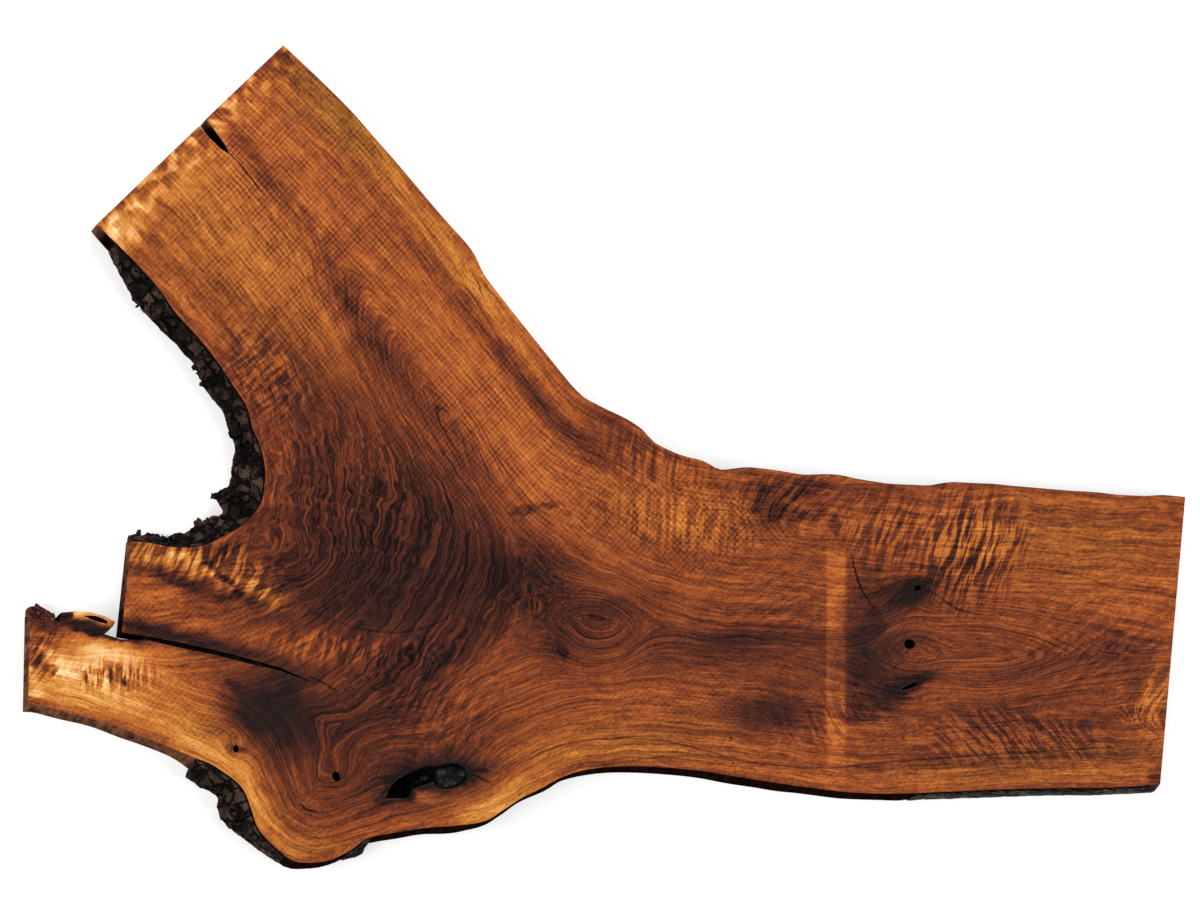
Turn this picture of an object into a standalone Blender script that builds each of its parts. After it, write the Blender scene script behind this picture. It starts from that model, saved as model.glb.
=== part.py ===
"""A crotch slab of walnut: the flat plank sawn from the place where a trunk forks.

The trunk runs to +X, the long limb to the upper left and two short stubs to the left. The wood is one
solid, with its holes cut into it, and the bark that still clings to its edge is made of separate pieces.
"""

import math

import bmesh
import bpy
from mathutils import Matrix, Vector, noise

# Driving dimensions, in metres
THICKNESS = 0.055
BARK_GAP = 0.0003
BARE_SPACING = 0.012
BARK_SPACING = 0.009
BARE_BULGE = 0.004
BARE_FLARE = 0.002
FLARE_SHARE = 0.4
LARGEST_FLARE = 0.015
WOBBLE = 0.0025

# Heights at which the edge of the wood changes slope, from the underside up
WALL_HEIGHTS = [0.0, 0.014, 0.028, 0.041, THICKNESS - 0.004, THICKNESS]

# The outline of the upper face, in millimetres, walked clockwise from the limb's lower corner
LIMB_CORNER = (-871, 348)
END_CHECK = [(-698, 527), (-679, 507), (-660, 489), (-643, 480), (-655, 500), (-670, 520), (-686, 540)]
LONG_EDGE = [
    (-554, 676), (-490, 619), (-437, 569), (-399, 528), (-350, 475), (-280, 396), (-226, 338), (-201, 292),
    (-157, 237), (-105, 175), (-40, 100), (0, 76), (46, 56), (75, 38), (96, 17), (140, -2), (181, -11),
    (214, -25), (267, -19), (316, -22), (360, -27), (422, -26), (472, -34), (573, -37), (645, -28),
    (815, -33), (922, -37), (1040, -36),
]
BELLY_EDGE = [
    (551, -570), (454, -573), (349, -565), (244, -553), (174, -545), (104, -541), (35, -542), (-17, -549),
    (-61, -562), (-95, -581), (-138, -604), (-173, -628), (-199, -644), (-242, -652), (-310, -660),
    (-370, -672), (-394, -678),
]
HEEL_EDGE = [(-437, -706), (-472, -721), (-518, -724), (-539, -715)]
UNDER_EDGE = [(-693, -555), (-771, -526), (-856, -498), (-977, -472)]
SPLINTER = [
    (-925, -334), (-924, -318), (-899, -315), (-875, -315), (-850, -321), (-832, -330), (-836, -338),
    (-851, -351),
]
LIMB_SHOULDER = [(-838, 317), (-854, 332), (-871, 348)]

# Stretches that still have bark: each row is a point of the wood's edge and the bark's outer edge beside it
CROTCH_BARK = [
    ((-806, -192), (-806, -173)), ((-775, -194), (-772, -168)), ((-741, -199), (-736, -170)),
    ((-707, -199), (-704, -159)), ((-678, -193), (-690, -146)), ((-659, -182), (-671, -140)),
    ((-635, -169), (-654, -131)), ((-613, -153), (-648, -119)), ((-596, -133), (-660, -111)),
    ((-584, -112), (-668, -97)), ((-579, -78), (-641, -82)), ((-580, -50), (-633, -51)),
    ((-589, -16), (-628, -18)), ((-601, 10), (-638, 9)), ((-611, 46), (-651, 44)),
    ((-636, 84), (-682, 81)), ((-667, 128), (-694, 118)), ((-696, 162), (-732, 156)),
    ((-734, 202), (-770, 192)), ((-762, 240), (-808, 228)), ((-798, 279), (-826, 267)),
    ((-838, 317), (-845, 311)),
]
TRUNK_BARK = [
    ((988, -539), (989, -548)), ((934, -545), (933, -552)), ((880, -549), (884, -556)),
    ((791, -553), (795, -560)), ((702, -558), (706, -566)), ((613, -565), (617, -572)),
    ((551, -570), (555, -575)),
]
EDGE_KNOB = [
    ((-394, -678), (-392, -685)), ((-409, -685), (-401, -700)), ((-420, -695), (-411, -708)),
    ((-437, -706), (-433, -713)),
]
FOOT_BARK = [
    ((-539, -715), (-538, -722)), ((-570, -689), (-573, -705)), ((-588, -666), (-600, -688)),
    ((-595, -646), (-628, -674)), ((-602, -626), (-648, -650)), ((-611, -606), (-655, -632)),
    ((-625, -591), (-650, -616)), ((-645, -577), (-664, -608)), ((-671, -562), (-684, -600)),
    ((-693, -555), (-695, -588)),
]
STUB_FLAKE = [
    ((-976, -329), (-974, -302)), ((-956, -332), (-964, -295)), ((-942, -333), (-948, -302)),
    ((-931, -333), (-931, -310)),
]

# The cleft between the two stubs, from its mouth to its tip: points of its middle line and its width there
CLEFT = [
    ((-822, -353), 12), ((-773, -356), 7), ((-722, -365), 9), ((-662, -375), 8), ((-603, -388), 8),
    ((-551, -399), 5), ((-503, -417), 1.6),
]
INGROWN_FIRST, INGROWN_LAST = 3, -5
INGROWN_TOP, INGROWN_BOTTOM = THICKNESS - 0.007, 0.006

# The rotted void, a deep part and a shallow part, and how deep each goes
DEEP_VOID = [
    (-370, -611), (-359, -588), (-342, -574), (-321, -562), (-300, -554), (-280, -556), (-277, -572),
    (-290, -581), (-323, -594), (-329, -608), (-353, -611),
]
DEEP_VOID_DEPTH = 0.041
SHALLOW_VOID = [
    (-286, -554), (-256, -547), (-232, -555), (-228, -568), (-238, -584), (-264, -592), (-286, -585),
]
SHALLOW_VOID_DEPTH = 0.013
SPLINTER_HOLLOW = [(-886, -322), (-866, -321), (-845, -329), (-845, -334), (-868, -329)]
SPLINTER_HOLLOW_DEPTH = 0.022
FACE_HOLLOWS = [
    (DEEP_VOID, DEEP_VOID_DEPTH),
    (SHALLOW_VOID, SHALLOW_VOID_DEPTH),
    (SPLINTER_HOLLOW, SPLINTER_HOLLOW_DEPTH),
]

# Knot and worm holes: place, half width, half height and turn of the mouth, and how deep the hole goes
THROUGH = THICKNESS + 0.01
ROUND_HOLES = [
    ((544, -313), 10, 9, 0, THROUGH),
    ((-454, -577), 7, 9, 20, THROUGH),
    ((-625, -537), 5, 7, 0, 0.024),
    ((559, -215), 7, 5, 30, 0.020),
    ((544, -386), 17, 3.5, 24, 0.018),
    ((228, -487), 2, 2, 0, 0.015),
    ((232, -530), 2, 2, 0, 0.015),
]
HOLE_SIDES = 12
HOLE_TAPER = 0.72
CUTTER_RISE = 0.004

# How a hollow narrows on its way down: share of its depth and how far its wall has moved to the middle
HOLLOW_PROFILE = [(0.0, 0.0), (0.35, 0.06), (0.7, 0.18), (1.0, 0.3)]
HOLLOW_ROUGHNESS = 0.08

# How the bark's upper side falls away from the wood: share of its reach, height, and how rough it is there
BARK_FOOT = 0.001
BARK_PROFILE = [
    (0.28, THICKNESS - 0.006, 0.1), (0.42, THICKNESS - 0.010, 0.5), (0.58, THICKNESS - 0.013, 1.0),
    (0.74, THICKNESS - 0.017, 1.0), (0.90, THICKNESS - 0.022, 1.0), (1.00, THICKNESS - 0.029, 1.0),
    (1.00, 0.017, 1.0), (0.93, 0.008, 0.8), (0.82, BARK_FOOT, 0.3),
]
SQUARE_END = 3
PLATE_LENGTH, PLATE_WIDTH = 0.042, 0.015
PLATE_SLANT = 0.4
FURROW_DEPTH = 0.008
FINE_ROUGHNESS = 0.0025
FULLY_ROUGH_REACH = 0.03
THINNEST_BARK = 0.0022


def mm(point):
    """A point in metres from one in millimetres."""
    return Vector((point[0], point[1])) / 1000


def smooth_line(points, spacing):
    """Points of a smooth curve through the given ones, each span in equal steps of about the spacing."""
    spots = [mm(point) for point in points]
    ends = [spots[0] * 2 - spots[1]] + spots + [spots[-1] * 2 - spots[-2]]
    line = []
    for before, start, stop, after in zip(ends, ends[1:], ends[2:], ends[3:]):
        steps = max(1, round((stop - start).length / spacing))
        for step in range(steps):
            t = step / steps
            bend = (start * 2 + (stop - before) * t + (before * 2 - start * 5 + stop * 4 - after) * t**2
                    + (start * 3 - before - stop * 3 + after) * t**3) / 2
            line.append(bend)
    return line + [spots[-1]]


def straight_line(points, counts):
    """Points along straight spans, with a given number of steps in each span."""
    line = []
    for start, stop, steps in zip(points, points[1:], counts):
        line += [mm(start).lerp(mm(stop), step / steps) for step in range(steps)]
    return line + [mm(points[-1])]


def cleft_sides():
    """The lower and the upper wall of the cleft, with the same number of points."""
    spans = zip(CLEFT, CLEFT[1:])
    counts = [max(1, round((mm(stop[0]) - mm(start[0])).length / BARE_SPACING)) for start, stop in spans]
    middle = straight_line([row[0] for row in CLEFT], counts)
    widths = []
    for (_, wide), (_, narrow), steps in zip(CLEFT, CLEFT[1:], counts):
        widths += [wide + (narrow - wide) * step / steps for step in range(steps)]
    widths.append(CLEFT[-1][1])
    along = (middle[-1] - middle[0]).normalized()
    across = Vector((-along.y, along.x))
    halves = [across * width / 2000 for width in widths]
    low = [spot - half for spot, half in zip(middle, halves)]
    high = [spot + half for spot, half in zip(middle, halves)]
    return low, high


def wood_outline():
    """The outline as rows of point, kind of edge and flare, and where each bark stretch begins and ends."""
    low, high = cleft_sides()
    rows = []
    stretches = {}

    def add(line, kind, flare=0.0):
        for spot in line:
            if not rows or (rows[-1][0] - spot).length > 0.0005:
                rows.append([spot, kind, flare])

    def add_bark(name, pairs):
        line = smooth_line([wood for wood, _ in pairs], BARK_SPACING)
        reach = bark_reach(pairs)
        first = len(rows) - 1 if rows and (rows[-1][0] - line[0]).length < 0.0005 else len(rows)
        add(line, "bark")
        stretches[name] = (first, len(rows) - 1, reach)
        for row, arm in zip(rows[first:], reach):
            row[1] = "bark" if row[1] != "corner" else row[1]
            row[2] = min(LARGEST_FLARE, FLARE_SHARE * arm.length)

    add([mm(LIMB_CORNER)], "corner")
    add([mm(spot) for spot in END_CHECK], "crack")
    add(smooth_line(LONG_EDGE, BARE_SPACING), "bare", BARE_FLARE)
    add([mm(TRUNK_BARK[0][0])], "corner")
    add_bark("trunk_bark", TRUNK_BARK)
    add(smooth_line(BELLY_EDGE, BARE_SPACING), "bare", BARE_FLARE)
    add_bark("edge_knob", EDGE_KNOB)
    add(smooth_line(HEEL_EDGE, BARE_SPACING), "bare", BARE_FLARE)
    add_bark("foot_bark", FOOT_BARK)
    add(smooth_line(UNDER_EDGE, BARE_SPACING), "bare", BARE_FLARE)
    add([mm(STUB_FLAKE[0][0])], "corner")
    add_bark("stub_bark", STUB_FLAKE)
    add([mm(spot) for spot in SPLINTER], "crack")
    add(low, "crack")
    add(reversed(high), "crack")
    add([mm(CROTCH_BARK[0][0])], "corner")
    add_bark("crotch_bark", CROTCH_BARK)
    add(smooth_line(LIMB_SHOULDER, BARE_SPACING)[:-1], "bare", BARE_FLARE)
    return rows, stretches


def bark_reach(pairs):
    """The arms from the wood's edge to the bark's outer edge, one for each point of the smooth edge."""
    wood = [mm(pair[0]) for pair in pairs]
    arms = [mm(pair[1]) - mm(pair[0]) for pair in pairs]
    reach = []
    for start, stop, arm, next_arm in zip(wood, wood[1:], arms, arms[1:]):
        steps = max(1, round((stop - start).length / BARK_SPACING))
        reach += [arm.lerp(next_arm, step / steps) for step in range(steps)]
    return reach + [arms[-1]]


def outward(rows, index):
    """The direction that leads out of the wood, along the saw cut where the edge meets one."""
    spot = rows[index][0]
    before = rows[index - 1][0]
    after = rows[(index + 1) % len(rows)][0]
    gap_before = (spot - before).length
    gap_after = (after - spot).length
    longest_step = 0.1
    if rows[index][1] != "crack" and gap_before > longest_step:
        return (spot - before).normalized()
    if rows[index][1] != "crack" and gap_after > longest_step:
        return (spot - after).normalized()
    along = (after - before).normalized()
    return Vector((-along.y, along.x))


def wall_offset(spot, kind, flare, height):
    """How far the wall stands out from the upper face's outline at a height."""
    if kind == "crack":
        return 0.0
    depth = (THICKNESS - height) / THICKNESS
    wave = noise.noise(Vector((spot.x * 14, spot.y * 14, 3.0)))
    bulge = BARE_BULGE * (1 + wave) if kind == "bare" else BARE_BULGE * 0.3
    return flare * depth + bulge * math.sin(math.pi * min(depth, 0.9)) + WOBBLE * max(0.0, wave) * depth


def build_walls(rows):
    """The wall points of the wood: one column of points, from the underside up, for each outline point."""
    for _ in range(4):
        flares = [row[2] for row in rows]
        for index, row in enumerate(rows):
            if row[1] in ("bare", "bark"):
                row[2] = (flares[index - 1] + flares[index] * 2 + flares[(index + 1) % len(rows)]) / 4
    columns = []
    for index, (spot, kind, flare) in enumerate(rows):
        out = outward(rows, index)
        column = [spot + out * wall_offset(spot, kind, flare, height) for height in WALL_HEIGHTS]
        columns.append((column, out))
    return columns


def material(name, colour, roughness):
    """A plain finish in the part's own colour."""
    finish = bpy.data.materials.new(name)
    finish.use_nodes = True
    shader = finish.node_tree.nodes["Principled BSDF"]
    shader.inputs["Base Color"].default_value = (*colour, 1)
    shader.inputs["Roughness"].default_value = roughness
    shader.inputs["Metallic"].default_value = 0
    return finish


def make_object(name, shape, finish):
    """An object from a finished bmesh, with its faces turned outward."""
    bmesh.ops.recalc_face_normals(shape, faces=shape.faces)
    mesh = bpy.data.meshes.new(name)
    shape.to_mesh(mesh)
    shape.free()
    thing = bpy.data.objects.new(name, mesh)
    bpy.context.collection.objects.link(thing)
    if finish:
        mesh.materials.append(finish)
    return thing


def lofted(rings):
    """A closed body from rings with the same number of corners, with a face on the first and the last."""
    shape = bmesh.new()
    loops = [[shape.verts.new(corner) for corner in ring] for ring in rings]
    for lower, upper in zip(loops, loops[1:]):
        for index in range(len(lower)):
            follow = (index + 1) % len(lower)
            shape.faces.new((lower[index], lower[follow], upper[follow]))
            shape.faces.new((lower[index], upper[follow], upper[index]))
    shape.faces.new(loops[0])
    shape.faces.new(loops[-1])
    return shape


def at_height(spot, height):
    return Vector((spot.x, spot.y, height))


def hollow_cutter(outline, depth):
    """A tapering body that sinks from above the upper face, with a rough wall and a smaller floor."""
    spots = smooth_line([*outline, outline[0]], BARK_SPACING)[:-1]
    centre = sum(spots, Vector((0, 0))) / len(spots)
    rings = []
    rings.append([at_height(spot, THICKNESS + CUTTER_RISE) for spot in spots])
    for share, narrow in HOLLOW_PROFILE:
        height = THICKNESS - depth * share
        ring = []
        for spot in spots:
            rough = HOLLOW_ROUGHNESS * noise.noise(at_height(spot * 40, height * 90)) if share else 0
            ring.append(at_height(spot.lerp(centre, narrow + rough), height))
        rings.append(ring)
    return make_object("hollow_cutter", lofted(rings), None)


def hole_cutter(place, half_width, half_height, turn, depth):
    """A slightly tapering round or oval hole, sunk from above the upper face."""
    centre = mm(place)
    rings = []
    for height, size in ((THICKNESS + CUTTER_RISE, 1.0), (THICKNESS - depth, HOLE_TAPER)):
        ring = []
        for side in range(HOLE_SIDES):
            angle = side * math.tau / HOLE_SIDES
            arm = Vector((half_width * math.cos(angle), half_height * math.sin(angle))) * size / 1000
            arm.rotate(Matrix.Rotation(math.radians(turn), 2))
            ring.append(at_height(centre + arm, height))
        rings.append(ring)
    return make_object("hole_cutter", lofted(rings), None)


def cut(body, cutter):
    """Takes the cutter's shape out of the body for good."""
    knife = body.modifiers.new("cut", "BOOLEAN")
    knife.operation = "DIFFERENCE"
    knife.object = cutter
    bpy.context.view_layer.objects.active = body
    bpy.ops.object.modifier_apply(modifier=knife.name)
    bpy.data.objects.remove(cutter)


def build_slab(columns, finish):
    """The wood: its walls, its two sawn faces, and the hollows and holes cut into them."""
    rings = []
    for level, height in enumerate(WALL_HEIGHTS):
        rings.append([at_height(column[level], height) for column, _ in columns])
    slab = make_object("walnut_slab", lofted(rings), finish)
    for outline, depth in FACE_HOLLOWS:
        cut(slab, hollow_cutter(outline, depth))
    for hole in ROUND_HOLES:
        cut(slab, hole_cutter(*hole))
    return slab


def plate_relief(along, across, seed):
    """How far the bark is cut back: nothing on a plate, full depth in the furrow round it."""
    lean = along + PLATE_SLANT * across
    near, far = noise.voronoi(Vector((lean / PLATE_LENGTH, across / PLATE_WIDTH, seed)))[0][:2]
    plate = min(1.0, (far - near) * 2.6)
    fine = noise.noise(Vector((along * 70, across * 160, seed)))
    return FURROW_DEPTH * (plate - 1) + FINE_ROUGHNESS * fine


def build_bark(name, columns, stretch, finish, seed):
    """A piece of bark that follows the wood's wall a hair's breadth away and falls off roughly outward."""
    first, last, reach = stretch
    rings = []
    along = 0.0
    for index, arm in zip(range(first, last + 1), reach):
        column, out = columns[index]
        if index > first:
            along += (column[-1] - columns[index - 1][0][-1]).length
        inner = [at_height(spot + out * BARK_GAP, height) for spot, height in zip(column, WALL_HEIGHTS[:-1])]
        inner[0].z = BARK_FOOT
        wood_edge = column[-1]
        from_end = min(index - first, last - index)
        out_to = out.lerp(arm.normalized(), min(1.0, from_end / SQUARE_END)).normalized()
        across = 0.0
        outer = []
        for share, height, rough in BARK_PROFILE:
            across += 0.2 * arm.length + 0.004
            cut_back = plate_relief(along, across, seed) * rough * min(1.0, arm.length / FULLY_ROUGH_REACH)
            wood_foot = (column[0] - wood_edge).length if height < THICKNESS / 2 else 0.0
            length = max(arm.length * share + cut_back, arm.length * share * 0.6, wood_foot + THINNEST_BARK)
            outer.append(at_height(wood_edge + out_to * length, max(BARK_FOOT, height + cut_back * 0.5)))
        rings.append([*inner, *outer])
    return make_object(name, lofted(rings), finish)


def build_ingrown_bark(finish):
    """The bark folded into the cleft as the two stubs grew together, a little below the upper face."""
    low, high = cleft_sides()
    rings = []
    for lower, upper in list(zip(low, high))[INGROWN_FIRST:INGROWN_LAST]:
        gap = BARK_GAP / (upper - lower).length
        near, far = lower.lerp(upper, gap), upper.lerp(lower, gap)
        crest = INGROWN_TOP + 0.003 * noise.noise(at_height(lower * 60, 1.0))
        rings.append([
            at_height(near, INGROWN_BOTTOM),
            at_height(far, INGROWN_BOTTOM),
            at_height(far, crest - 0.003),
            at_height(near.lerp(far, 0.55), crest),
            at_height(near, crest - 0.002),
        ])
    return make_object("ingrown_bark", lofted(rings), finish)


def stand_on_origin(things):
    """Moves the pieces together, so that the origin lies under the middle of the whole slab."""
    corners = [corner.co for thing in things for corner in thing.data.vertices]
    middle_x = (min(corner.x for corner in corners) + max(corner.x for corner in corners)) / 2
    middle_y = (min(corner.y for corner in corners) + max(corner.y for corner in corners)) / 2
    for thing in things:
        thing.location = (-middle_x, -middle_y, 0)


def build_all():
    for thing in list(bpy.data.objects):
        bpy.data.objects.remove(thing)
    wood = material("oiled_walnut", (0.20, 0.075, 0.025), 0.35)
    dark_bark = material("furrowed_bark", (0.022, 0.017, 0.014), 0.85)
    red_bark = material("inner_bark", (0.075, 0.022, 0.012), 0.8)
    rows, stretches = wood_outline()
    columns = build_walls(rows)
    pieces = [build_slab(columns, wood)]
    for seed, name in enumerate(stretches):
        finish = red_bark if name == "stub_bark" else dark_bark
        pieces.append(build_bark(name, columns, stretches[name], finish, seed * 7.3))
    pieces.append(build_ingrown_bark(dark_bark))
    stand_on_origin(pieces)


build_all()
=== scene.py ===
import math

import bpy
import numpy as np
from mathutils import Matrix, Vector, noise
from mathutils.bvhtree import BVHTree


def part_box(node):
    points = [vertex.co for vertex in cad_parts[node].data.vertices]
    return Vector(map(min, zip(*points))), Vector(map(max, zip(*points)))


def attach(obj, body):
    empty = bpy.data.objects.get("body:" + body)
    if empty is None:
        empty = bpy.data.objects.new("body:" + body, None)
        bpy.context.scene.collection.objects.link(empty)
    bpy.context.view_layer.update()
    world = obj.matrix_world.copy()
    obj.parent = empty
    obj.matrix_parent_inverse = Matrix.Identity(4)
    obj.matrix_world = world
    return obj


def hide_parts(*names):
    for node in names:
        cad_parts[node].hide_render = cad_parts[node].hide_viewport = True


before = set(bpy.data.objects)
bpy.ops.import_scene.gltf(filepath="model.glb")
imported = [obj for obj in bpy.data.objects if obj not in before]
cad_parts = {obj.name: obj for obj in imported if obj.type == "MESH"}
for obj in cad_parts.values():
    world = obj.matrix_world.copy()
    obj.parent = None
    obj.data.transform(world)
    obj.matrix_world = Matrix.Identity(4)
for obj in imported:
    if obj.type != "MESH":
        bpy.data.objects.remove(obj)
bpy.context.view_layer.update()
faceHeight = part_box("walnut_slab")[1][2]

# the photograph looks down on the slab with a long lens, a little from the left and from the near edge
photoView = {
    "wide": 1200,
    "high": 900,
    "distance": 14.0,           # metres from the slab
    "leanLeft": 0.24,           # how far the view leans for each metre of height
    "leanNear": 0.20,
    "metresPerPixel": 0.0017,   # on the upper face
    "centre": (-0.0317, 0.0255),
}


def linear(hexColour):
    # turns an sRGB hex colour into the linear colour that the nodes want
    parts = [int(hexColour[i:i + 2], 16) / 255 for i in (1, 3, 5)]
    return (*[c / 12.92 if c <= 0.04045 else ((c + 0.055) / 1.055) ** 2.4 for c in parts], 1.0)


def addNode(tree, kind, settings=None, inputs=None, stops=()):
    # adds one node, sets its properties, fills or links its sockets, and sets a ramp's colours. A node given
    # as an input stands for its first output. Nodes are laid out in rows, in the order they are added
    node = tree.nodes.new("ShaderNode" + kind)
    row, column = divmod(len(tree.nodes), 8)
    node.location = (column * 200, row * -350)
    for name, value in (settings or {}).items():
        setattr(node, name, value)
    for socket, value in (inputs or {}).items():
        if isinstance(value, bpy.types.Node):
            value = value.outputs[0]
        if isinstance(value, bpy.types.NodeSocket):
            tree.links.new(value, node.inputs[socket])
        else:
            node.inputs[socket].default_value = value
    for number, (spot, colour) in enumerate(stops):
        ramp = node.color_ramp.elements
        stop = ramp[number] if number < 2 else ramp.new(spot)
        stop.position = spot
        stop.color = linear(colour)
    return node


multiplyAdd = {"operation": "MULTIPLY_ADD"}
smoothStep = {"interpolation_type": "SMOOTHSTEP"}
colourMix = {"data_type": "RGBA"}


def clearSelection():
    if bpy.context.mode != "OBJECT":
        bpy.ops.object.mode_set(mode="OBJECT")
    bpy.ops.object.select_all(action="DESELECT")


def pickOut(thing):
    clearSelection()
    thing.select_set(True)
    bpy.context.view_layer.objects.active = thing


def applyModifier(thing, kind, **settings):
    pickOut(thing)
    modifier = thing.modifiers.new(kind.lower(), kind)
    for name, value in settings.items():
        setattr(modifier, name, value)
    bpy.ops.object.modifier_apply(modifier=modifier.name)


def triangleCount(thing):
    return sum(len(face.vertices) - 2 for face in thing.data.polygons)


# the view's own directions, for the camera and for places read off the photograph
towardEye = Vector((-photoView["leanLeft"], -photoView["leanNear"], 1)).normalized()
viewRight = Vector((0, 1, 0)).cross(towardEye).normalized()
viewUp = towardEye.cross(viewRight)
eyePlace = Vector((*photoView["centre"], faceHeight)) + towardEye * photoView["distance"]


def makeCamera():
    lens = bpy.data.cameras.new("camera")
    lens.sensor_width = 36
    lens.lens = 36 * photoView["distance"] / (photoView["wide"] * photoView["metresPerPixel"])
    lens.clip_end = 60
    camera = bpy.data.objects.new("camera", lens)
    turn = Matrix((viewRight, viewUp, towardEye)).transposed()
    camera.matrix_world = Matrix.Translation(eyePlace) @ turn.to_4x4()
    bpy.context.collection.objects.link(camera)
    bpy.context.scene.camera = camera


def photoPlaces(points):
    # where points of the upper face lie in the photograph, in its pixels
    offset = points - np.array(eyePlace)
    depth = -offset @ np.array(towardEye)
    reach = photoView["distance"] / photoView["metresPerPixel"] / depth
    across = photoView["wide"] / 2 + offset @ np.array(viewRight) * reach
    down = photoView["high"] / 2 - offset @ np.array(viewUp) * reach
    return across, down


# the slab's edges, as pixels of the photograph, with the ends carried on past the saw cuts
edgeLines = {
    "long": [(180, -75), (283, 45), (350, 110), (400, 167), (440, 214), (485, 276), (540, 346), (577, 391),
             (626, 419), (680, 450), (752, 466), (840, 476), (925, 484), (1060, 490), (1185, 497),
             (1400, 500)],
    "crotch": [(-60, 75), (97, 224), (139, 266), (176, 313), (215, 358), (244, 405), (259, 444), (264, 480),
               (255, 510), (234, 530), (207, 543), (170, 549), (131, 552), (-60, 545)],
    "belly": [(-200, 640), (28, 703), (100, 721), (192, 756), (226, 774), (246, 800), (262, 832), (288, 850),
              (320, 856), (360, 842), (400, 832), (460, 824), (500, 811), (545, 787), (590, 771), (660, 767),
              (740, 777), (800, 786), (900, 793), (980, 790), (1100, 787), (1160, 785), (1400, 778)],
}

# how fast the rings are crossed from each edge, and how far along it the common start lies
ringRates = {"long": 1.0, "crotch": 0.62, "belly": 1.25}
ringStarts = {"long": 120.0, "crotch": 160.0, "belly": 60.0}
ringBlend = 7.0     # pixels over which one edge's rings pass into the next one's


def smoothLine(points, steps=5):
    spots = [np.array(p, float) for p in points]
    spots = [2 * spots[0] - spots[1]] + spots + [2 * spots[-1] - spots[-2]]
    line = []
    for a, b, c, d in zip(spots, spots[1:], spots[2:], spots[3:]):
        for step in range(steps):
            t = step / steps
            bend = 2 * b + (c - a) * t + (2 * a - 5 * b + 4 * c - d) * t * t
            line.append((bend + (3 * b - a - 3 * c + d) * t ** 3) / 2)
    return np.array(line + [spots[-2]])


def nearestOnLine(across, down, line):
    # distance to a line, how far along it the nearest point lies, and the line's direction there
    best = np.full(across.shape, 1e9)
    along = np.zeros_like(best)
    headX = np.zeros_like(best)
    headY = np.zeros_like(best)
    run = 0.0
    for start, stop in zip(line, line[1:]):
        step = stop - start
        length = float(np.hypot(*step))
        t = ((across - start[0]) * step[0] + (down - start[1]) * step[1]) / length ** 2
        t = np.clip(t, 0, 1)
        gap = np.hypot(across - start[0] - t * step[0], down - start[1] - t * step[1])
        near = gap < best
        best[near] = gap[near]
        along[near] = run + t[near] * length
        headX[near] = step[0] / length
        headY[near] = step[1] / length
        run += length
    return best, along, headX, headY


def wave(across, down, sizeAcross, sizeDown, seed):
    # smooth noise from -1 to 1 at each place, with features of the given size in pixels
    spots = zip(across / sizeAcross, down / sizeDown)
    return np.array([noise.noise((x, y, seed)) for x, y in spots])


patchFlatness = 1.25        # above 1 a patch is flatter in its middle and firmer at its edge


def patchWeight(across, down, patch):
    # 1 in the middle of a patch, falling to 0 outside it. A patch is x, y, half length, half width, turn
    x, y, halfLong, halfWide, turn = patch[:5]
    c, s = math.cos(math.radians(turn)), math.sin(math.radians(turn))
    dx, dy = across - x, down - y
    r2 = ((dx * c - dy * s) / halfLong) ** 2 + ((dx * s + dy * c) / halfWide) ** 2
    return np.exp(-r2 ** patchFlatness)


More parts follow.
